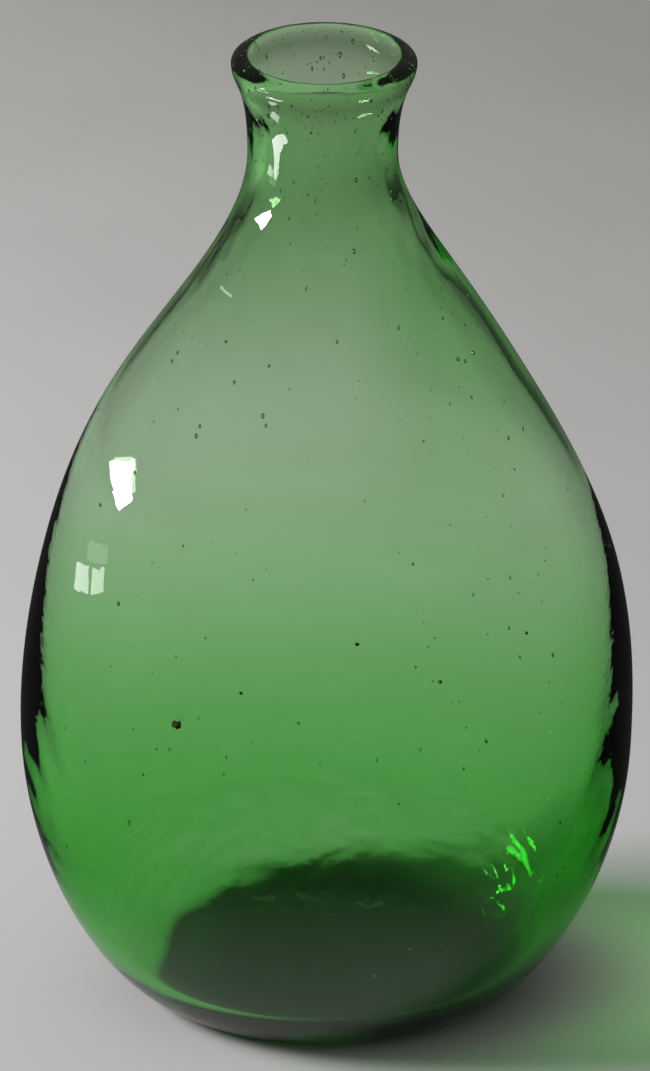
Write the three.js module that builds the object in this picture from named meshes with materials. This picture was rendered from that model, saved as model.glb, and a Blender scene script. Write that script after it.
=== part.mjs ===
// Pocket bottle: a flattened flask of green glass, blown in one piece.
// Millimetres, +Z up. The origin is on the table, under the middle of the belly.
// The two broad faces look along Y and the two narrow sides along X.

import * as THREE from 'three';

// Height and belly
const bottleHeight = 150;
const bellyWidth = 88.6;
const bellyDepth = 53.2;
const bellyLevel = 44.4;

// Foot: an oval ring that rests on the table, with a hollow pushed up inside it
const footWidth = 47;
const footDepth = 31;
const restRingWidth = 3;
const kickHeight = 0.9;

// Heel: how far it runs on level from the foot, and where the side starts to turn in
const heelReach = 9;
const heelTurn = 24;

// Shoulder: how far the side rises upright from the belly, and hangs upright from the throat
const shoulderRise = 55.8;
const neckDrop = 17.9;

// Neck and mouth, both round
const throatWidth = 19.8;
const throatBelowRim = 13.4;
const flareRise = 9.5;
const flareTurn = 2.6;
const mouthWidth = 24.2;

// Lip: its half round, how the inside leans in below it, and how far it hangs upright from the throat
const lipRound = 1.2;
const innerLipTurn = 4.5;
const innerLipLean = 1.3;
const innerFlareRise = 5.5;

// Glass thickness: thick at the throat, thinnest in the upper body, and thick again from the belly down
const throatWall = 2.4;
const neckWall = 2.0;
const shoulderWall = 1.2;
const bellyWall = 4.1;
const heelWall = 6;

// Levels where the wall has these thicknesses
const neckWallLevel = 124;
const thinWallTop = 104;
const thinWallFoot = 84;
const heelWallLevel = 20;

// The floor inside, and how the wall's inside turns onto it
const floorThickness = 5.6;
const floorInset = 3;
const floorReach = 9;
const floorTurn = 8;
const floorDome = 0.8;

// Sideways drift of the hand-blown centre line, measured from the belly's middle
const footDrift = -0.2;
const upperBodyDrift = 0.3;
const shoulderDrift = -0.5;
const neckRootDrift = 0.1;
const throatDrift = -0.5;
const rimDrift = -0.3;

// Fineness of the mesh
const pointsPerRing = 48;
const kickRings = 4;
const heelRings = 9;
const shoulderRings = 17;
const flareRings = 5;
const lipRings = 8;
const innerHeelRings = 6;
const floorRings = 3;

// Levels and half sizes that follow from the values above
const throatLevel = bottleHeight - throatBelowRim;
const lipLevel = bottleHeight - lipRound;
const depthPerWidth = footDepth / footWidth;

// A ring is written as a vector: half width, half depth, level
function ring(halfWidth, halfDepth, level) {
  return new THREE.Vector3(halfWidth, halfDepth, level);
}

function roundRing(radius, level) {
  return ring(radius, radius, level);
}

function shifted(from, outward, upward) {
  return ring(from.x + outward, from.y + outward * depthPerWidth, from.z + upward);
}

// The rings between two ends of a smooth stretch, without the first one
function stretch(start, leaving, arriving, end, count) {
  const curve = new THREE.CubicBezierCurve3(start, leaving, arriving, end);
  return curve.getPoints(count).slice(1);
}

// The hollow under the foot, from its middle out to the resting ring
function kickUp() {
  const halfWidth = footWidth / 2 - restRingWidth;
  const halfDepth = footDepth / 2 - restRingWidth;
  const rings = [];
  for (let step = 1; step <= kickRings; step += 1) {
    const share = step / kickRings;
    const level = kickHeight * (1 + Math.cos(Math.PI * share)) / 2;
    rings.push(ring(halfWidth * share, halfDepth * share, level));
  }
  return rings;
}

// The outside, from the foot's outer edge up to the lip
function outside() {
  const foot = ring(footWidth / 2, footDepth / 2, 0);
  const belly = ring(bellyWidth / 2, bellyDepth / 2, bellyLevel);
  const throat = roundRing(throatWidth / 2, throatLevel);
  const lip = roundRing(mouthWidth / 2, lipLevel);
  return [
    foot,
    ...stretch(foot, shifted(foot, heelReach, 0), shifted(belly, 0, -heelTurn), belly, heelRings),
    ...stretch(belly, shifted(belly, 0, shoulderRise), shifted(throat, 0, -neckDrop), throat, shoulderRings),
    ...stretch(throat, shifted(throat, 0, flareRise), shifted(lip, 0, -flareTurn), lip, flareRings),
  ];
}

// Over the fire-polished lip, a half circle from its outside to its inside
function overLip() {
  const middle = mouthWidth / 2 - lipRound;
  const rings = [];
  for (let step = 1; step < lipRings; step += 1) {
    const angle = Math.PI * step / lipRings;
    rings.push(roundRing(middle + lipRound * Math.cos(angle), lipLevel + lipRound * Math.sin(angle)));
  }
  return rings;
}

// The wall's thickness at a level of the body
const wallStations = [
  [heelWallLevel, heelWall],
  [bellyLevel, bellyWall],
  [thinWallFoot, shoulderWall],
  [thinWallTop, shoulderWall],
  [neckWallLevel, neckWall],
  [throatLevel, throatWall],
];

function wallAt(level) {
  let wall = heelWall;
  for (let index = 1; index < wallStations.length; index += 1) {
    const [lowLevel, lowWall] = wallStations[index - 1];
    const [highLevel, highWall] = wallStations[index];
    if (level > lowLevel) {
      wall = THREE.MathUtils.mapLinear(Math.min(level, highLevel), lowLevel, highLevel, lowWall, highWall);
    }
  }
  return wall;
}

// The body's inside: the outside's rings from the throat down, each one wall further in
function insideOfBody() {
  const body = outside().filter(({ z: level }) => level > heelWallLevel && level < throatLevel);
  return body.reverse().map(({ x: halfWidth, y: halfDepth, z: level }) => {
    const wall = wallAt(level);
    return ring(halfWidth - wall, halfDepth - wall, level);
  });
}

// The inside, from the lip down to the floor's edge and across the floor
function inside() {
  const lip = roundRing(mouthWidth / 2 - 2 * lipRound, lipLevel);
  const lipLeaving = roundRing(lip.x - innerLipLean, lip.z - innerLipTurn);
  const throat = roundRing(throatWidth / 2 - throatWall, throatLevel);
  const throatArriving = roundRing(throat.x, throat.z + innerFlareRise);
  const body = insideOfBody();
  const [aboveHeel, heel] = body.slice(-2);
  const slope = heel.clone().sub(aboveHeel).divideScalar(aboveHeel.z - heel.z);
  const heelLeaving = heel.clone().addScaledVector(slope, floorTurn);
  const floorEdge = shifted(ring(footWidth / 2, footDepth / 2, 0), -floorInset, floorThickness);
  const rings = [
    lip,
    ...stretch(lip, lipLeaving, throatArriving, throat, flareRings),
    ...body,
    ...stretch(heel, heelLeaving, shifted(floorEdge, floorReach, 0), floorEdge, innerHeelRings),
  ];
  for (let step = 1; step < floorRings; step += 1) {
    const share = 1 - step / floorRings;
    rings.push(ring(floorEdge.x * share, floorEdge.y * share, floorLevel(share)));
  }
  return rings;
}

// The floor rises a little from its edge, share 1, to its middle, share 0
function floorLevel(share) {
  return floorThickness + floorDome * (1 + Math.cos(Math.PI * share)) / 2;
}

// How far the centre line stands to one side at a level
const driftStations = [
  [0, footDrift],
  [bellyLevel, 0],
  [bellyLevel + shoulderRise / 2, upperBodyDrift],
  [bellyLevel + shoulderRise, shoulderDrift],
  [throatLevel - neckDrop, neckRootDrift],
  [throatLevel, throatDrift],
  [bottleHeight, rimDrift],
];

function driftAt(level) {
  let drift = footDrift;
  for (let index = 1; index < driftStations.length; index += 1) {
    const [lowLevel, lowDrift] = driftStations[index - 1];
    const [highLevel, highDrift] = driftStations[index];
    if (level > lowLevel) {
      const share = THREE.MathUtils.smoothstep(level, lowLevel, highLevel);
      drift = THREE.MathUtils.lerp(lowDrift, highDrift, share);
    }
  }
  return drift;
}

// One closed skin through all the rings, with a single point at each end
function skinOver(rings, firstLevel, lastLevel) {
  const positions = [driftAt(firstLevel), 0, firstLevel];
  for (const { x: halfWidth, y: halfDepth, z: level } of rings) {
    for (let point = 0; point < pointsPerRing; point += 1) {
      const angle = 2 * Math.PI * point / pointsPerRing;
      positions.push(driftAt(level) + halfWidth * Math.cos(angle), halfDepth * Math.sin(angle), level);
    }
  }
  positions.push(driftAt(lastLevel), 0, lastLevel);

  const vertexAt = (index, point) => 1 + index * pointsPerRing + point % pointsPerRing;
  const endVertex = 1 + rings.length * pointsPerRing;
  const lastRing = rings.length - 1;
  const triangles = [];
  for (let point = 0; point < pointsPerRing; point += 1) {
    triangles.push(0, vertexAt(0, point + 1), vertexAt(0, point));
    triangles.push(endVertex, vertexAt(lastRing, point), vertexAt(lastRing, point + 1));
    for (let index = 0; index < lastRing; index += 1) {
      const near = vertexAt(index, point);
      const beside = vertexAt(index, point + 1);
      const above = vertexAt(index + 1, point);
      const across = vertexAt(index + 1, point + 1);
      triangles.push(near, beside, across);
      triangles.push(near, across, above);
    }
  }

  const geometry = new THREE.BufferGeometry();
  geometry.setAttribute('position', new THREE.Float32BufferAttribute(positions, 3));
  geometry.setIndex(triangles);
  geometry.computeVertexNormals();
  return geometry;
}

const greenGlass = new THREE.MeshStandardMaterial({
  color: 0x4f9a4e,
  roughness: 0.06,
  metalness: 0,
  transparent: true,
  opacity: 0.6,
});

const rings = [...kickUp(), ...outside(), ...overLip(), ...inside()];
const bottle = new THREE.Mesh(skinOver(rings, kickHeight, floorLevel(0)), greenGlass);
bottle.name = 'glass_bottle';

const group = new THREE.Group();
group.add(bottle);

export default group;
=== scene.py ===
import math
import random

import bmesh
import bpy
import numpy as np
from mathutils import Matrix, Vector, noise


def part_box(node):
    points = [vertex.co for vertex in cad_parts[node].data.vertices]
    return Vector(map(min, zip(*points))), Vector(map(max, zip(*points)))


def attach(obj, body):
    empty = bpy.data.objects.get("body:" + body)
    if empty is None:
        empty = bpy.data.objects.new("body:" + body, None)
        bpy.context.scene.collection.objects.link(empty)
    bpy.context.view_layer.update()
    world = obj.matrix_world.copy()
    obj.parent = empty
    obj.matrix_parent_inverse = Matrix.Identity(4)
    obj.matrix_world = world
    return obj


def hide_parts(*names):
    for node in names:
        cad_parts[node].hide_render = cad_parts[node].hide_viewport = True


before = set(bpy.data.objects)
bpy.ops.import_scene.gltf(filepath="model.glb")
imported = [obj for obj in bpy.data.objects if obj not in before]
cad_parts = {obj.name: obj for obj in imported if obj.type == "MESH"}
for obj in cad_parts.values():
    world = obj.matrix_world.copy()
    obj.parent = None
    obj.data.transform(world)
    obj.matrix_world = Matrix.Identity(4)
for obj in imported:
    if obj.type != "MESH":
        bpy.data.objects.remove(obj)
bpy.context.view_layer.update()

# A flattened pocket bottle of green glass, blown in one piece, on a pale floor.
# All lengths are in metres. The driving sizes repeat those of the construction.

MM = 0.001
WHITE = (1, 1, 1, 1)
random.seed(11)

# The part's one node, and the sizes that its box in model.glb gives
NODE = "glass_bottle"
BOTTLE_LOW, BOTTLE_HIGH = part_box(NODE)
BOTTLE_HEIGHT = BOTTLE_HIGH.z
BELLY_HALF_WIDTH = (BOTTLE_HIGH.x - BOTTLE_LOW.x) / 2
BELLY_HALF_DEPTH = (BOTTLE_HIGH.y - BOTTLE_LOW.y) / 2

# Outside: foot, heel, belly, shoulder, neck and mouth
BELLY_LEVEL = 44.4 * MM
FOOT_HALF_WIDTH = 23.5 * MM
FOOT_HALF_DEPTH = 15.5 * MM
REST_RING_WIDTH = 3 * MM
KICK_HEIGHT = 0.9 * MM
HEEL_REACH = 9 * MM
HEEL_TURN = 24 * MM
SHOULDER_RISE = 55.8 * MM
NECK_DROP = 17.9 * MM
THROAT_RADIUS = 9.9 * MM
THROAT_LEVEL = BOTTLE_HEIGHT - 13.4 * MM
FLARE_RISE = 9.5 * MM
FLARE_TURN = 2.6 * MM
MOUTH_RADIUS = 12.1 * MM

# Lip: its outer round, its small inner round, and how the inside hangs below it before it leans in
LIP_ACROSS = 2.0 * MM
LIP_HIGH = 1.2 * MM
LIP_INNER_ROUND = 0.4 * MM
INNER_LIP_TURN = 3.0 * MM
INNER_LIP_WIDENS = 0.4 * MM
INNER_FLARE_RISE = 6.0 * MM

# Wall thickness at each level, thin in the shoulder and thick below: level and thickness
WALL_STATIONS = (
    (20 * MM, 6.0 * MM),
    (34 * MM, 5.1 * MM),
    (BELLY_LEVEL, 4.1 * MM),
    (56 * MM, 3.1 * MM),
    (66 * MM, 2.3 * MM),
    (76 * MM, 1.6 * MM),
    (88 * MM, 1.1 * MM),
    (100 * MM, 1.1 * MM),
    (112 * MM, 1.6 * MM),
    (124 * MM, 2.1 * MM),
    (THROAT_LEVEL, 2.4 * MM),
)

# The wall is averaged over these shifts up and down, which rounds the corners between the stations
WALL_ROUNDING = np.linspace(-4, 4, 9) * MM

# The floor inside
FLOOR_THICKNESS = 5.6 * MM
FLOOR_INSET = 3 * MM
FLOOR_REACH = 9 * MM
FLOOR_TURN = 8 * MM
INNER_HEEL_LEVEL = 20 * MM
FLOOR_DOME = 0.8 * MM

# Sideways drift of the centre line: level and shift
DRIFT_STATIONS = (
    (0, -0.2 * MM),
    (BELLY_LEVEL, 0),
    (BELLY_LEVEL + SHOULDER_RISE / 2, 0.3 * MM),
    (BELLY_LEVEL + SHOULDER_RISE, -0.5 * MM),
    (THROAT_LEVEL - NECK_DROP, 0.1 * MM),
    (THROAT_LEVEL, -0.5 * MM),
    (BOTTLE_HEIGHT, -0.3 * MM),
)

# Fineness of the glass mesh
COLUMNS = 256
KICK_RINGS = 20
HEEL_RINGS = 34
SHOULDER_RINGS = 66
FLARE_RINGS = 16
LIP_OUTER_RINGS = 12
LIP_INNER_RINGS = 6
INNER_HEEL_RINGS = 30
FLOOR_RINGS = 14

# Places in the grid of rings: the first ring above the foot's edge, and the first one of the lip
FIRST_HEEL_RING = KICK_RINGS + 1
FIRST_LIP_RING = FIRST_HEEL_RING + HEEL_RINGS + SHOULDER_RINGS + FLARE_RINGS

# The least length that a vector is divided by, so that it is never zero
LEAST_LENGTH = 1e-12

# Waves of the skins: the distance between waves along X, Y and Z, and the number of the noise.
# Each noise is read this far from the one before.
NOISE_STEP = (7.31, 3.17, 5.71)
OUTER_BROAD = ((26 * MM, 26 * MM, 26 * MM), 1)
OUTER_MIDDLE = ((11 * MM, 11 * MM, 16 * MM), 3)
OUTER_LINES = ((2.6 * MM, 2.6 * MM, 45 * MM), 5)
INNER_BROAD = ((26 * MM, 26 * MM, 26 * MM), 2)
INNER_MIDDLE = ((10 * MM, 10 * MM, 14 * MM), 4)
INNER_LINES = ((1.8 * MM, 1.8 * MM, 16 * MM), 6)
SIDE_RAGS = ((3.5 * MM, 3.5 * MM, 3 * MM), 7)
HEEL_RIPPLES = ((7 * MM, 5 * MM, 2.4 * MM), 8)
LIP_CREST = ((2.4 * MM, 2.4 * MM, 2.4 * MM), 9)
FOOT_SCAR = ((1.6 * MM, 1.6 * MM, 1.6 * MM), 10)

# How deep these waves are
OUTER_BROAD_DEPTH = 0.09 * MM
OUTER_MIDDLE_DEPTH = 0.012 * MM
OUTER_LINES_DEPTH = 0.003 * MM
INNER_BROAD_DEPTH = 0.13 * MM
INNER_MIDDLE_DEPTH = 0.03 * MM
INNER_LINES_DEPTH = 0.004 * MM
NECK_LINES_DEPTH = 0.045 * MM
RAGS_DEPTH = 0.10 * MM
RIPPLES_DEPTH = 1.50 * MM
CREST_DEPTH = 0.04 * MM
SCAR_DEPTH = 0.05 * MM

# Stretches over which they come in or fade out: where each starts and where it ends.
# The one named SIDE is in shares of the way from the middle to the narrow side.
OUTER_WAVES_RISE = (0.2 * MM, 3 * MM)
NECK_LINES_RISE = (108 * MM, 124 * MM)
RAGS_SIDE = (0.6, 0.9)
RAGS_FADE = (46 * MM, 66 * MM)
RIPPLES_BACK = (1 * MM, 8 * MM)
RIPPLES_FADE = (14 * MM, 30 * MM)

# The heel's ripples are shallower on the right, by up to this share
CALM_RIGHT = (4 * MM, 14 * MM)
CALM_RIGHT_SHARE = 0.55

# Uneven wall: more glass in the right shoulder, and less low down on the two narrow sides.
# The stretch named SIDE is again in shares.
SHOULDER_EXTRA = 0.90 * MM
SHOULDER_EXTRA_ACROSS = (2 * MM, 16 * MM)
SHOULDER_EXTRA_RISE = (84 * MM, 104 * MM)
SHOULDER_EXTRA_FADE = (117 * MM, 129 * MM)
LOW_LEFT_LESS = 0.90 * MM
LOW_RIGHT_LESS = 0.45 * MM
LOW_SIDE = (0.6, 0.95)
LOW_SIDE_FADE = (30 * MM, 47 * MM)

# The ring scar under the foot, in shares of the way from the middle to the resting ring
SCAR_PLACE = 0.42
SCAR_WIDTH = 0.10
SCAR_END = 0.9

# Bubbles in the glass: how many, their size, how far they are drawn out, and how deep they lie in the wall.
# The higher the power, the more of them are small.
SEED_COUNT = 560
SEED_LEAST = 0.07 * MM
SEED_MOST = 0.24 * MM
SEED_POWER = 3
SEED_STRETCH = (1.1, 2.2)
SEED_DEPTH = (0.35, 0.65)

# Right of this place and above this level every bubble is kept, and elsewhere only this share
SEED_DENSE_ACROSS = 12 * MM
SEED_DENSE_LEVEL = 132 * MM
SEED_SPARSE = 0.45

# Bits of grit in the front wall: tones, depth as a share of the wall, raggedness, and each one's
# place across, level and size
GRIT_DARK = (0.010, 0.010, 0.008, 1)
GRIT_LIGHT = (0.16, 0.13, 0.07, 1)
STONE_DEPTH = 0.45
STONE_RAGGED = (0.55, 1.25)
STONES = (
    (-21.5 * MM, 60.5 * MM, 0.70 * MM),
    (4.5 * MM, 75 * MM, 0.28 * MM),
    (-11.5 * MM, 68 * MM, 0.26 * MM),
    (28.0 * MM, 73 * MM, 0.24 * MM),
)

# The glass itself: its tint by depth, its clear skin, and the most that wear dulls it
GLASS_IOR = 1.52
TINT_COLOUR = (0.264, 0.838, 0.20, 1)
TINT_DENSITY = 265
CLEAR_COLOUR = (0.985, 0.995, 0.98, 1)
WEAR_START = 0.55
WEAR_END = 0.9
WEAR_ROUGHNESS = 0.05

# The paper: its radius, the hair's breadth of air under the foot, its two tones and the grain between them
FLOOR_RADIUS = 3.0
FLOOR_GAP = 0.05 * MM
PAPER_GRAIN = (0.35, 0.65)
PAPER_DARK = (0.565, 0.558, 0.555, 1)
PAPER_LIGHT = (0.590, 0.583, 0.580, 1)

# Painted shade: the paper's colour is even up to the start along this direction, and darkest at the end,
# where the light falls off
FALL_OFF_DIRECTION = (0.6, 1.0, 0)
FALL_OFF_START = 0.06
FALL_OFF_END = 0.42
PAINTED_FALL_OFF_TONE = (0.64, 0.64, 0.615, 1)

# Painted shade: far from the bottle the paper's colour is darker, so that it doesn't burn out under the
# window
FAR_START = 0.42
FAR_END = 0.80
FAR_TONE = 0.45

# The black card for reflections: its radius, its soft hole's start and end, its level and its tones.
# It gets lighter from this share of the way to its edge.
CARD_RADIUS = 2.0
CARD_HOLE_START = 0.028
CARD_HOLE_END = 0.075
CARD_LEVEL = 1 * MM
CARD_TONE = (0.035, 0.035, 0.035, 1)
CARD_FAR_TONE = (0.20, 0.20, 0.20, 1)
CARD_LIGHTER_FROM = 0.2

# The film in the neck: where it starts and is full, how far noise lifts that, and how it dims
FILM_START = 122 * MM
FILM_END = 150 * MM
FILM_UNEVENNESS = 20 * MM
FILM_COLOUR = (0.82, 0.85, 0.79, 1)

# Share of a lamp's light that passes each skin of the foot and of the body, and the levels between them
FOOT_PASSES = (0.08, 0.10, 0.07, 1)
BODY_PASSES = (0.98, 0.98, 0.93, 1)
FOOT_PASSES_TO = 3 * MM
BODY_PASSES_FROM = 13 * MM

# The dim room around the set
ROOM_COLOUR = (0.12, 0.118, 0.112, 1)

# Glowing panes that paint the window's highlights in the glass and light nothing: light, whether they are
# seen through the glass, and corners
HIGHLIGHT_COLOUR = (1, 0.99, 0.97, 1)
HIGHLIGHT_PANES = {
    "pane_shoulder": (
        45,
        True,
        (-0.62, 0.06, 0.092),
        (-0.62, -0.13, 0.125),
        (-0.59, -0.22, 0.07),
        (-0.61, -0.17, 0.05),
    ),
    "pane_body_left": (
        7,
        False,
        (-0.275, 0.012, 0.023),
        (-0.277, -0.034, 0.027),
        (-0.271, -0.051, 0.014),
        (-0.273, -0.005, 0.010),
    ),
    "pane_body_right": (
        7,
        False,
        (-0.275, -0.045, 0.027),
        (-0.269, -0.081, 0.031),
        (-0.262, -0.092, 0.018),
        (-0.270, -0.059, 0.014),
    ),
    "pane_body_top": (
        1.5,
        False,
        (-0.280, -0.013, 0.040),
        (-0.272, -0.077, 0.046),
        (-0.268, -0.085, 0.034),
        (-0.277, -0.022, 0.029),
    ),
    "pane_neck": (
        11,
        False,
        (-0.037, -0.0095, 0.1225),
        (-0.0295, -0.0195, 0.121),
        (-0.029, -0.0245, 0.121),
        (-0.0385, -0.0165, 0.1225),
    ),
    "pane_mouth": (
        5,
        False,
        (-0.0285, -0.0055, 0.1225),
        (-0.0275, -0.0125, 0.1225),
        (-0.0235, -0.0115, 0.1225),
        (-0.0245, -0.006, 0.1225),
    ),
}

# A dark card under the neck's panes, so that the shoulder doesn't show them from below: tone and corners
NECK_CARD_TONE = (0.012, 0.012, 0.012, 1)
NECK_CARD = (
    (-0.0420, -0.002, 0.1205),
    (-0.0165, -0.002, 0.1205),
    (-0.0165, -0.030, 0.1205),
    (-0.0420, -0.030, 0.1205),
)

# The lamps: place, aim, size and power
WINDOW_LAMP = ((-1.20, 0, 0.90), (0, 0, 0.05), (0.40, 0.55), 23.5)
CEILING_LAMP = ((0, 0, 1.6), (0, 0, 0), (2.0, 2.0), 5.5)

# The camera that the photograph was taken with
CAMERA_DISTANCE = 0.450
CAMERA_ELEVATION = math.radians(31.08)
CAMERA_AIM = Vector((-0.0002, 0, 0.07783))
CAMERA_LENS = 108.3


def bezier(start, leaving, arriving, end, count):
    """Points of a cubic curve, without its first one."""
    share = np.linspace(0, 1, count + 1)[1:, None]
    rest = 1 - share
    return (
        rest**3 * np.array(start)
        + 3 * rest**2 * share * np.array(leaving)
        + 3 * rest * share**2 * np.array(arriving)
        + share**3 * np.array(end)
    )


def shifted(ring, outward, upward):
    """A ring (half width, half depth, level), moved outward and up."""
    depth_per_width = FOOT_HALF_DEPTH / FOOT_HALF_WIDTH
    return (ring[0] + outward, ring[1] + outward * depth_per_width, ring[2] + upward)


def kick_up_rings():
    """The hollow under the foot, from its middle out to the resting ring."""
    share = np.linspace(0, 1, KICK_RINGS + 1)[1:]
    return np.stack(
        [
            (FOOT_HALF_WIDTH - REST_RING_WIDTH) * share,
            (FOOT_HALF_DEPTH - REST_RING_WIDTH) * share,
            KICK_HEIGHT * (1 + np.cos(math.pi * share)) / 2,
        ],
        1,
    )


def round_ring(radius, level):
    return (radius, radius, level)


def outside_rings():
    """The outside, from the foot's outer edge up to the lip."""
    foot = (FOOT_HALF_WIDTH, FOOT_HALF_DEPTH, 0)
    belly = (BELLY_HALF_WIDTH, BELLY_HALF_DEPTH, BELLY_LEVEL)
    throat = round_ring(THROAT_RADIUS, THROAT_LEVEL)
    lip = round_ring(MOUTH_RADIUS, BOTTLE_HEIGHT - LIP_HIGH)
    below_belly = shifted(belly, 0, -HEEL_TURN)
    above_belly = shifted(belly, 0, SHOULDER_RISE)
    below_throat = shifted(throat, 0, -NECK_DROP)
    above_throat = shifted(throat, 0, FLARE_RISE)
    return np.vstack(
        [
            [foot],
            bezier(foot, shifted(foot, HEEL_REACH, 0), below_belly, belly, HEEL_RINGS),
            bezier(belly, above_belly, below_throat, throat, SHOULDER_RINGS),
            bezier(throat, above_throat, shifted(lip, 0, -FLARE_TURN), lip, FLARE_RINGS),
        ]
    )


def lip_rings():
    """Over the lip: a broad quarter round outside the crest and a small one inside it."""
    outer = np.linspace(0, math.pi / 2, LIP_OUTER_RINGS + 1)[1:]
    inner = np.linspace(0, math.pi / 2, LIP_INNER_RINGS + 1)[1:-1]
    crest_radius = MOUTH_RADIUS - LIP_ACROSS
    radius = np.concatenate(
        [
            crest_radius + LIP_ACROSS * np.cos(outer),
            crest_radius - LIP_INNER_ROUND * np.sin(inner),
        ]
    )
    level = BOTTLE_HEIGHT - np.concatenate(
        [
            LIP_HIGH * (1 - np.sin(outer)),
            LIP_INNER_ROUND * (1 - np.cos(inner)),
        ]
    )
    return np.stack([radius, radius, level], 1)


def wall_at(level):
    """The wall's thickness at each level, with the corners between the stations rounded off."""
    levels, walls = zip(*WALL_STATIONS)
    return sum(np.interp(level + shift, levels, walls) for shift in WALL_ROUNDING) / len(WALL_ROUNDING)


def inside_rings():
    """The inside, from the lip down to the middle of the floor."""
    lip_radius = MOUTH_RADIUS - LIP_ACROSS - LIP_INNER_ROUND
    lip_level = BOTTLE_HEIGHT - LIP_INNER_ROUND
    lip = round_ring(lip_radius, lip_level)
    lip_leaving = round_ring(lip_radius + INNER_LIP_WIDENS, lip_level - INNER_LIP_TURN)
    throat_radius = THROAT_RADIUS - wall_at(THROAT_LEVEL)
    throat = round_ring(throat_radius, THROAT_LEVEL)
    throat_arriving = round_ring(throat_radius, THROAT_LEVEL + INNER_FLARE_RISE)
    outside = outside_rings()
    throat_index = HEEL_RINGS + SHOULDER_RINGS
    body = outside[:throat_index][::-1].copy()
    body = body[body[:, 2] > INNER_HEEL_LEVEL]
    body[:, :2] -= wall_at(body[:, 2:3])
    heel = body[-1]
    heel_slope = (body[-1] - body[-2]) / (body[-2][2] - body[-1][2])
    heel_leaving = heel + heel_slope * FLOOR_TURN
    floor_edge = shifted((FOOT_HALF_WIDTH, FOOT_HALF_DEPTH, 0), -FLOOR_INSET, FLOOR_THICKNESS)
    floor_arriving = shifted(floor_edge, FLOOR_REACH, 0)
    share = np.linspace(1, 0, FLOOR_RINGS + 1)[1:-1]
    floor = np.stack(
        [
            floor_edge[0] * share,
            floor_edge[1] * share,
            FLOOR_THICKNESS + FLOOR_DOME * (1 + np.cos(math.pi * share)) / 2,
        ],
        1,
    )
    return np.vstack(
        [
            [lip],
            bezier(lip, lip_leaving, throat_arriving, throat, FLARE_RINGS),
            body,
            bezier(heel, heel_leaving, floor_arriving, floor_edge, INNER_HEEL_RINGS),
            floor,
        ]
    )


def drift_at(level):
    """How far the centre line stands to one side at each level."""
    drift = np.full(np.shape(level), float(DRIFT_STATIONS[0][1]))
    for (low, low_drift), (high, high_drift) in zip(DRIFT_STATIONS, DRIFT_STATIONS[1:]):
        share = np.clip((level - low) / (high - low), 0, 1)
        share = share * share * (3 - 2 * share)
        drift = np.where(level > low, low_drift + (high_drift - low_drift) * share, drift)
    return drift


def noise_field(points, size, seed):
    """Smooth noise from about -1 to 1 at each point.

    size is the distance between its waves along X, Y and Z, and seed is its number.
    """
    offset = Vector([seed * step for step in NOISE_STEP])
    scaled = points / np.array(size)
    flat = [noise.noise(Vector(p) + offset) for p in scaled.reshape(-1, 3)]
    return np.array(flat).reshape(points.shape[:-1])


def smooth_between(value, low, high):
    """0 below low, 1 above high, smooth between them."""
    share = np.clip((value - low) / (high - low), 0, 1)
    return share * share * (3 - 2 * share)


def grid_normals(points):
    """Unit normals of a closed-round grid of points, rings by columns, pointing out of the glass."""
    along_ring = np.roll(points, -1, 1) - np.roll(points, 1, 1)
    across = np.gradient(points, axis=0)
    normals = np.cross(along_ring, across)
    length = np.linalg.norm(normals, axis=2, keepdims=True)
    return normals / np.maximum(length, LEAST_LENGTH)


def outer_waves(points):
    """How far each point of the outside sinks into the glass: broad waves and fine draw lines."""
    level = points[..., 2]
    broad = noise_field(points, *OUTER_BROAD)
    middle = noise_field(points, *OUTER_MIDDLE)
    lines = noise_field(points, *OUTER_LINES)
    sunk = (
        OUTER_BROAD_DEPTH * (1 + broad)
        + OUTER_MIDDLE_DEPTH * (1 + middle)
        + OUTER_LINES_DEPTH * (1 + lines)
    )
    return sunk * smooth_between(level, *OUTER_WAVES_RISE)


def inner_waves(points):
    """How far each point of the inside sinks into the glass.

    It has waves as the outside has, drawn lines in the neck, ragged narrow sides,
    a rippled heel at the back and an uneven wall.
    """
    across = points[..., 0]
    level = points[..., 2]
    broad = noise_field(points, *INNER_BROAD)
    middle = noise_field(points, *INNER_MIDDLE)
    lines = noise_field(points, *INNER_LINES)
    rags = noise_field(points, *SIDE_RAGS)
    ripples = np.abs(noise_field(points, *HEEL_RIPPLES))
    sideways = np.abs(across) / BELLY_HALF_WIDTH
    in_neck = smooth_between(level, *NECK_LINES_RISE)
    low_down = 1 - smooth_between(level, *RIPPLES_FADE)
    at_back = smooth_between(points[..., 1], *RIPPLES_BACK)
    at_back *= 1 - CALM_RIGHT_SHARE * smooth_between(across, *CALM_RIGHT)
    right_shoulder = (
        smooth_between(across, *SHOULDER_EXTRA_ACROSS)
        * smooth_between(level, *SHOULDER_EXTRA_RISE)
        * (1 - smooth_between(level, *SHOULDER_EXTRA_FADE))
    )
    low_side = smooth_between(sideways, *LOW_SIDE) * (1 - smooth_between(level, *LOW_SIDE_FADE))
    on_side = smooth_between(sideways, *RAGS_SIDE) * (1 - smooth_between(level, *RAGS_FADE))
    return (
        INNER_BROAD_DEPTH * broad
        + INNER_MIDDLE_DEPTH * middle
        + (INNER_LINES_DEPTH + NECK_LINES_DEPTH * in_neck) * lines
        + RAGS_DEPTH * rags * on_side
        + RIPPLES_DEPTH * ripples * low_down * at_back
        - SHOULDER_EXTRA * right_shoulder
        + LOW_LEFT_LESS * low_side * (across < 0)
        + LOW_RIGHT_LESS * low_side * (across > 0)
    )


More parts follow.
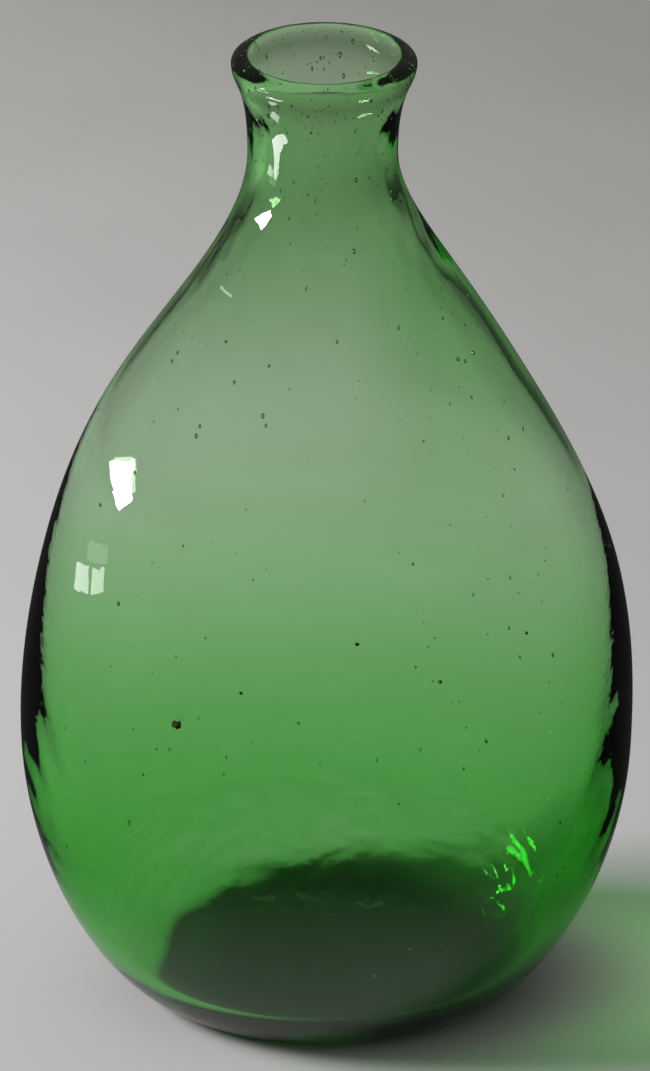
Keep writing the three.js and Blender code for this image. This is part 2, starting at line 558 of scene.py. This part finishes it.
def glass_points():
    """The grid of points of the whole skin, rings by columns, and its two end points."""
    under = kick_up_rings()
    outside = outside_rings()
    lip = lip_rings()
    inside = inside_rings()
    rings = np.vstack([under, outside, lip, inside])
    angle = 2 * math.pi * np.arange(COLUMNS) / COLUMNS
    level = np.repeat(rings[:, 2:3], COLUMNS, 1)
    points = np.stack(
        [
            drift_at(level) + rings[:, 0:1] * np.cos(angle),
            rings[:, 1:2] * np.sin(angle),
            level,
        ],
        2,
    )
    normals = grid_normals(points)
    lip_start = len(under) + len(outside)
    inside_start = lip_start + len(lip)
    sink = np.zeros(points.shape[:2])
    sink[len(under):lip_start] = outer_waves(points[len(under):lip_start])
    sink[inside_start:] = inner_waves(points[inside_start:])

    # The lip joins the two waves, and its crest is a little uneven
    lip_share = np.linspace(0, 1, len(lip) + 2)[1:-1, None]
    sink[lip_start:inside_start] = sink[lip_start - 1] * (1 - lip_share) + sink[inside_start] * lip_share
    crest = noise_field(points[lip_start:inside_start], *LIP_CREST)
    sink[lip_start:inside_start] += CREST_DEPTH * (1 + crest) * np.sin(math.pi * lip_share)

    # The scar that the iron left under the foot
    out_share = np.linspace(0, 1, KICK_RINGS + 1)[1:, None]
    scar_ring = np.exp(-((out_share - SCAR_PLACE) / SCAR_WIDTH) ** 2)
    scar = noise_field(points[:len(under)], *FOOT_SCAR)
    sink[:len(under)] = (SCAR_DEPTH * (1 + scar) * scar_ring) * (out_share < SCAR_END)

    points = points - normals * sink[..., None]
    first = (drift_at(KICK_HEIGHT), 0, KICK_HEIGHT)
    last = (drift_at(FLOOR_THICKNESS), 0, FLOOR_THICKNESS + FLOOR_DOME)
    return points, first, last


def skin_faces(ring_count):
    """Faces of the closed skin, counter-clockwise from outside the glass."""
    faces = []
    end = 1 + ring_count * COLUMNS
    last = 1 + (ring_count - 1) * COLUMNS
    for column in range(COLUMNS):
        beside = (column + 1) % COLUMNS
        faces.append((0, 1 + beside, 1 + column))
        faces.append((end, last + column, last + beside))
        for ring in range(ring_count - 1):
            low = 1 + ring * COLUMNS
            high = low + COLUMNS
            faces.append((low + column, low + beside, high + beside, high + column))
    return faces


def new_object(name, vertices, faces, material):
    """A smooth-shaded mesh object in the scene."""
    mesh = bpy.data.meshes.new(name)
    mesh.from_pydata([tuple(v) for v in vertices], [], faces)
    mesh.validate()
    mesh.shade_smooth()
    mesh.materials.append(material)
    piece = bpy.data.objects.new(name, mesh)
    bpy.context.scene.collection.objects.link(piece)
    return piece


def new_material(name):
    """A new material and its node tree."""
    material = bpy.data.materials.new(name)
    material.use_nodes = True
    return material, material.node_tree


def add_node(tree, kind, **values):
    """A node of that kind, with its input sockets set by name. An underscore stands for a space."""
    node = tree.nodes.new(kind)
    for name, value in values.items():
        node.inputs[name.replace("_", " ")].default_value = value
    return node


def add_ramp(tree, first_colour, last_colour, first=0, last=1):
    """A ramp from one colour to another, between two places from 0 to 1."""
    ramp = tree.nodes.new("ShaderNodeValToRGB")
    start, end = ramp.color_ramp.elements
    start.position = first
    start.color = first_colour
    end.position = last
    end.color = last_colour
    return ramp


def green_glass():
    """Clear green glass: an even tint by depth, a faintly uneven polish and fine surface ripples."""
    material, tree = new_material("green_glass")
    tree.nodes.clear()
    link = tree.links.new
    place = tree.nodes.new("ShaderNodeTexCoord")
    glass = add_node(tree, "ShaderNodeBsdfPrincipled", Transmission_Weight=1, IOR=GLASS_IOR)

    # A thin film has settled in the neck. It starts unevenly.
    parts = tree.nodes.new("ShaderNodeSeparateXYZ")
    link(place.outputs["Object"], parts.inputs["Vector"])
    patches = add_node(tree, "ShaderNodeTexNoise", Scale=90.0, Detail=3.0)
    uneven = tree.nodes.new("ShaderNodeMath")
    uneven.operation = "MULTIPLY_ADD"
    uneven.inputs[1].default_value = FILM_UNEVENNESS
    film = add_node(tree, "ShaderNodeMapRange", From_Min=FILM_START, From_Max=FILM_END)
    clarity = add_ramp(tree, CLEAR_COLOUR, FILM_COLOUR)
    link(place.outputs["Object"], patches.inputs["Vector"])
    link(patches.outputs["Fac"], uneven.inputs[0])
    link(parts.outputs["Z"], uneven.inputs[2])
    link(uneven.outputs["Value"], film.inputs["Value"])
    link(film.outputs["Result"], clarity.inputs["Fac"])
    link(clarity.outputs["Color"], glass.inputs["Base Color"])

    # Wear has dulled the polish in patches
    wear = add_node(tree, "ShaderNodeTexNoise", Scale=160.0, Detail=4.0)
    dulled = add_node(tree, "ShaderNodeMapRange", From_Min=WEAR_START, From_Max=WEAR_END)
    dulled.inputs["To Max"].default_value = WEAR_ROUGHNESS
    link(place.outputs["Object"], wear.inputs["Vector"])
    link(wear.outputs["Fac"], dulled.inputs["Value"])
    link(dulled.outputs["Result"], glass.inputs["Roughness"])

    # Fine ripples of the surface
    ripple = add_node(tree, "ShaderNodeTexNoise", Scale=420.0, Detail=2.0)
    bump = add_node(tree, "ShaderNodeBump", Strength=0.06, Distance=0.0002)
    link(place.outputs["Object"], ripple.inputs["Vector"])
    link(ripple.outputs["Fac"], bump.inputs["Height"])
    link(bump.outputs["Normal"], glass.inputs["Normal"])

    # Light from the lamps passes through and takes the tint, so the shadow is green.
    # The foot bends nearly all of it aside, so less of it passes there.
    level = add_node(tree, "ShaderNodeMapRange", From_Min=FOOT_PASSES_TO, From_Max=BODY_PASSES_FROM)
    passed = add_ramp(tree, FOOT_PASSES, BODY_PASSES)
    link(parts.outputs["Z"], level.inputs["Value"])
    link(level.outputs["Result"], passed.inputs["Fac"])
    passing = tree.nodes.new("ShaderNodeBsdfTransparent")
    link(passed.outputs["Color"], passing.inputs["Color"])
    path = tree.nodes.new("ShaderNodeLightPath")
    mix = tree.nodes.new("ShaderNodeMixShader")
    out = tree.nodes.new("ShaderNodeOutputMaterial")
    link(path.outputs["Is Shadow Ray"], mix.inputs[0])
    link(glass.outputs["BSDF"], mix.inputs[1])
    link(passing.outputs["BSDF"], mix.inputs[2])
    link(mix.outputs["Shader"], out.inputs["Surface"])

    # The deeper the glass, the greener
    tint = add_node(tree, "ShaderNodeVolumeAbsorption", Color=TINT_COLOUR, Density=TINT_DENSITY)
    link(tint.outputs["Volume"], out.inputs["Volume"])
    return material


def small_ball():
    """Vertices and faces of a coarse unit ball."""
    grid = bmesh.new()
    bmesh.ops.create_icosphere(grid, subdivisions=2, radius=1)
    vertices = np.array([tuple(v.co) for v in grid.verts])
    faces = [tuple(v.index for v in face.verts) for face in grid.faces]
    grid.free()
    return vertices, faces


def wall_spot(points, ring, column, depth_share):
    """A place inside the wall: a share of the way from the outer skin to the inner one."""
    outer = points[ring, column]
    towards = Vector((-outer[0], -outer[1], 0)).normalized()
    return outer + np.array(towards) * float(wall_at(outer[2])) * depth_share


def seeds(points):
    """Small bubbles caught in the wall, drawn out upright, and denser on the right and in the mouth."""
    ball, ball_faces = small_ball()
    first_ring = FIRST_HEEL_RING + HEEL_RINGS // 2
    vertices = []
    faces = []
    while len(vertices) < SEED_COUNT:
        ring = random.randrange(first_ring, FIRST_LIP_RING)
        column = random.randrange(COLUMNS)
        outer = points[ring, column]
        densely = outer[0] > SEED_DENSE_ACROSS or outer[2] > SEED_DENSE_LEVEL
        if random.random() > (1 if densely else SEED_SPARSE):
            continue
        radius = SEED_LEAST + (SEED_MOST - SEED_LEAST) * random.random() ** SEED_POWER
        length = radius * random.uniform(*SEED_STRETCH)
        centre = wall_spot(points, ring, column, random.uniform(*SEED_DEPTH))
        start = len(vertices) * len(ball)
        vertices.append(ball * (radius, radius, length) + centre)
        faces += [tuple(start + corner for corner in reversed(face)) for face in ball_faces]
    return np.vstack(vertices), faces


def front_spot(points, across, level):
    """The ring and column of the outer skin on the front face that lie nearest to a place."""
    away = np.hypot(points[..., 0] - across, points[..., 2] - level)
    away[points[..., 1] > 0] = np.inf
    away[FIRST_LIP_RING:] = np.inf
    return np.unravel_index(np.argmin(away), away.shape)


def stone_grit():
    """Brownish grit with darker grains."""
    material, tree = new_material("stone_grit")
    grit = tree.nodes["Principled BSDF"]
    grit.inputs["Roughness"].default_value = 0.8
    place = tree.nodes.new("ShaderNodeTexCoord")
    grain = add_node(tree, "ShaderNodeTexNoise", Scale=1500.0, Detail=2.0)
    ramp = add_ramp(tree, GRIT_DARK, GRIT_LIGHT)
    tree.links.new(place.outputs["Object"], grain.inputs["Vector"])
    tree.links.new(grain.outputs["Fac"], ramp.inputs["Fac"])
    tree.links.new(ramp.outputs["Color"], grit.inputs["Base Color"])
    return material


def stones(points):
    """Bits of grit that stuck in the front wall."""
    ball, ball_faces = small_ball()
    vertices = []
    faces = []
    for across, level, size in STONES:
        ring, column = front_spot(points, across, level)
        centre = wall_spot(points, ring, column, STONE_DEPTH)
        ragged = np.array([random.uniform(*STONE_RAGGED) for _ in ball])[:, None]
        start = len(vertices) * len(ball)
        vertices.append(ball * ragged * size + centre)
        faces += [tuple(start + corner for corner in face) for face in ball_faces]
    return np.vstack(vertices), faces


def make_bottle(glass, grit):
    """The bottle's skin, with its bubbles and its grit, as one object."""
    points, first, last = glass_points()
    skin = np.vstack([[first], points.reshape(-1, 3), [last]])
    seed_vertices, seed_faces = seeds(points)
    stone_vertices, stone_faces = stones(points)
    faces = skin_faces(len(points))
    faces += [tuple(len(skin) + corner for corner in face) for face in seed_faces]
    clear_faces = len(faces)
    before = len(skin) + len(seed_vertices)
    faces += [tuple(before + corner for corner in face) for face in stone_faces]
    bottle = new_object("bottle_glass", np.vstack([skin, seed_vertices, stone_vertices]), faces, glass)
    bottle.data.materials.append(grit)
    for polygon in bottle.data.polygons[clear_faces:]:
        polygon.material_index = 1
    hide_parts(NODE)
    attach(bottle, "root")


def pale_floor():
    """Pale grey paper with a faint grain, and painted shade: darker towards the back right and far from the
    bottle.
    """
    material, tree = new_material("pale_paper")
    paper = tree.nodes["Principled BSDF"]
    paper.inputs["Roughness"].default_value = 0.9
    paper.inputs["Specular IOR Level"].default_value = 0
    link = tree.links.new
    place = tree.nodes.new("ShaderNodeTexCoord")
    grain = add_node(tree, "ShaderNodeTexNoise", Scale=14.0, Detail=3.0)
    ramp = add_ramp(tree, PAPER_DARK, PAPER_LIGHT, *PAPER_GRAIN)
    link(place.outputs["Object"], grain.inputs["Vector"])
    link(grain.outputs["Fac"], ramp.inputs["Fac"])

    # Painted shade: the paper's colour darkens towards the back right, standing in for the light falling
    # off there
    along = tree.nodes.new("ShaderNodeVectorMath")
    along.operation = "DOT_PRODUCT"
    along.inputs[1].default_value = FALL_OFF_DIRECTION
    reach = add_node(tree, "ShaderNodeMapRange", From_Min=FALL_OFF_START, From_Max=FALL_OFF_END)
    painted_fall_off = add_ramp(tree, WHITE, PAINTED_FALL_OFF_TONE)
    shade = tree.nodes.new("ShaderNodeMix")
    shade.data_type = "RGBA"
    shade.blend_type = "MULTIPLY"
    shade.inputs["Factor"].default_value = 1
    link(place.outputs["Object"], along.inputs[0])
    link(along.outputs["Value"], reach.inputs["Value"])
    link(reach.outputs["Result"], painted_fall_off.inputs["Fac"])
    link(ramp.outputs["Color"], shade.inputs["A"])
    link(painted_fall_off.outputs["Color"], shade.inputs["B"])

    # Painted shade: far from the bottle the colour is darkened once more, so that the window's light
    # doesn't burn it out
    away = tree.nodes.new("ShaderNodeVectorMath")
    away.operation = "LENGTH"
    far = add_node(tree, "ShaderNodeMapRange", From_Min=FAR_START, From_Max=FAR_END)
    far.inputs["To Min"].default_value = 1
    far.inputs["To Max"].default_value = FAR_TONE
    painted_dim = tree.nodes.new("ShaderNodeVectorMath")
    painted_dim.operation = "SCALE"
    link(place.outputs["Object"], away.inputs[0])
    link(away.outputs["Value"], far.inputs["Value"])
    link(shade.outputs["Result"], painted_dim.inputs[0])
    link(far.outputs["Result"], painted_dim.inputs["Scale"])
    link(painted_dim.outputs["Vector"], paper.inputs["Base Color"])
    return material


def make_disc(name, radius, material):
    """A flat round stage piece at the origin."""
    grid = bmesh.new()
    bmesh.ops.create_circle(grid, cap_ends=True, segments=96, radius=radius)
    mesh = bpy.data.meshes.new(name)
    grid.to_mesh(mesh)
    grid.free()
    mesh.materials.append(material)
    disc = bpy.data.objects.new(name, mesh)
    bpy.context.scene.collection.objects.link(disc)
    return disc


def make_floor():
    """A round pale floor, wide enough for every view."""
    floor = make_disc("floor", FLOOR_RADIUS, pale_floor())
    floor.location.z = -FLOOR_GAP


def dark_paint():
    """Black with a soft round hole in the middle.

    It gets a little lighter far away, so that no edge shows in the glass.
    """
    material, tree = new_material("dark_card")
    tree.nodes.clear()
    link = tree.links.new
    place = tree.nodes.new("ShaderNodeTexCoord")
    away = tree.nodes.new("ShaderNodeVectorMath")
    away.operation = "LENGTH"
    link(place.outputs["Object"], away.inputs[0])
    hole = add_node(tree, "ShaderNodeMapRange", From_Min=CARD_HOLE_START, From_Max=CARD_HOLE_END)
    hole.interpolation_type = "SMOOTHSTEP"
    far = add_node(tree, "ShaderNodeMapRange", From_Min=CARD_HOLE_END, From_Max=CARD_RADIUS)
    tone = add_ramp(tree, CARD_TONE, CARD_FAR_TONE, CARD_LIGHTER_FROM)
    clear = tree.nodes.new("ShaderNodeBsdfTransparent")
    black = tree.nodes.new("ShaderNodeBsdfDiffuse")
    mix = tree.nodes.new("ShaderNodeMixShader")
    out = tree.nodes.new("ShaderNodeOutputMaterial")
    link(away.outputs["Value"], hole.inputs["Value"])
    link(away.outputs["Value"], far.inputs["Value"])
    link(far.outputs["Result"], tone.inputs["Fac"])
    link(tone.outputs["Color"], black.inputs["Color"])
    link(hole.outputs["Result"], mix.inputs[0])
    link(clear.outputs["BSDF"], mix.inputs[1])
    link(black.outputs["BSDF"], mix.inputs[2])
    link(mix.outputs["Shader"], out.inputs["Surface"])
    return material


def show_in_reflections_only(piece):
    """The piece shows only where the glass mirrors it, and it casts no shadow."""
    piece.visible_camera = False
    piece.visible_diffuse = False
    piece.visible_transmission = False
    piece.visible_shadow = False


def make_dark_card():
    """A black card just over the floor. It keeps the edges of the glass dark."""
    card = make_disc("dark_card", CARD_RADIUS, dark_paint())
    card.location.z = CARD_LEVEL
    show_in_reflections_only(card)


def make_camera():
    data = bpy.data.cameras.new("camera")
    data.lens = CAMERA_LENS
    data.sensor_width = 36
    data.clip_start = 0.01
    camera = bpy.data.objects.new("camera", data)
    bpy.context.scene.collection.objects.link(camera)
    back = Vector((0, -math.cos(CAMERA_ELEVATION), math.sin(CAMERA_ELEVATION)))
    camera.location = CAMERA_AIM + back * CAMERA_DISTANCE
    camera.rotation_euler = (-back).to_track_quat("-Z", "Y").to_euler()
    bpy.context.scene.camera = camera


def make_lamp(name, place, aim, size, power):
    """A rectangular soft lamp that gives light, but isn't itself seen."""
    data = bpy.data.lights.new(name, "AREA")
    data.shape = "RECTANGLE"
    data.size, data.size_y = size
    data.energy = power
    lamp = bpy.data.objects.new(name, data)
    bpy.context.scene.collection.objects.link(lamp)
    lamp.location = place
    lamp.rotation_euler = (Vector(aim) - Vector(place)).to_track_quat("-Z", "Y").to_euler()
    lamp.visible_camera = False
    lamp.visible_glossy = False
    lamp.visible_transmission = False


def bare_material(name, kind, **values):
    """A material of one shader node, with its input sockets set by name."""
    material, tree = new_material(name)
    tree.nodes.clear()
    shader = add_node(tree, kind, **values)
    out = tree.nodes.new("ShaderNodeOutputMaterial")
    tree.links.new(shader.outputs[0], out.inputs["Surface"])
    return material


def make_pane(name, light, through_glass, *corners):
    """A glowing pane that paints a highlight and lights nothing: reflections see it, and on request rays
    that come out through the glass.
    """
    material = bare_material(name, "ShaderNodeEmission", Color=HIGHLIGHT_COLOUR, Strength=light)
    material.cycles.emission_sampling = "NONE"
    pane = new_object(name, corners, [(0, 1, 2, 3)], material)
    show_in_reflections_only(pane)
    pane.visible_transmission = through_glass


def make_neck_card():
    """A small black card under the neck's panes."""
    material = bare_material("neck_card", "ShaderNodeBsdfDiffuse", Color=NECK_CARD_TONE)
    card = new_object("neck_card", NECK_CARD, [(0, 1, 2, 3)], material)
    show_in_reflections_only(card)


def make_world():
    """A dim even room."""
    world = bpy.data.worlds.new("room")
    world.use_nodes = True
    bpy.context.scene.world = world
    world.node_tree.nodes["Background"].inputs["Color"].default_value = ROOM_COLOUR


def set_render():
    scene = bpy.context.scene
    scene.view_settings.view_transform = "Standard"
    scene.cycles.max_bounces = 24
    scene.cycles.transmission_bounces = 20
    scene.cycles.glossy_bounces = 8
    scene.cycles.transparent_max_bounces = 16
    scene.cycles.caustics_refractive = False
    scene.cycles.caustics_reflective = False


make_camera()
set_render()
make_world()
make_floor()
make_bottle(green_glass(), stone_grit())
make_dark_card()
make_lamp("window", *WINDOW_LAMP)
make_lamp("ceiling", *CEILING_LAMP)
for pane_name, pane_values in HIGHLIGHT_PANES.items():
    make_pane(pane_name, *pane_values)
make_neck_card()
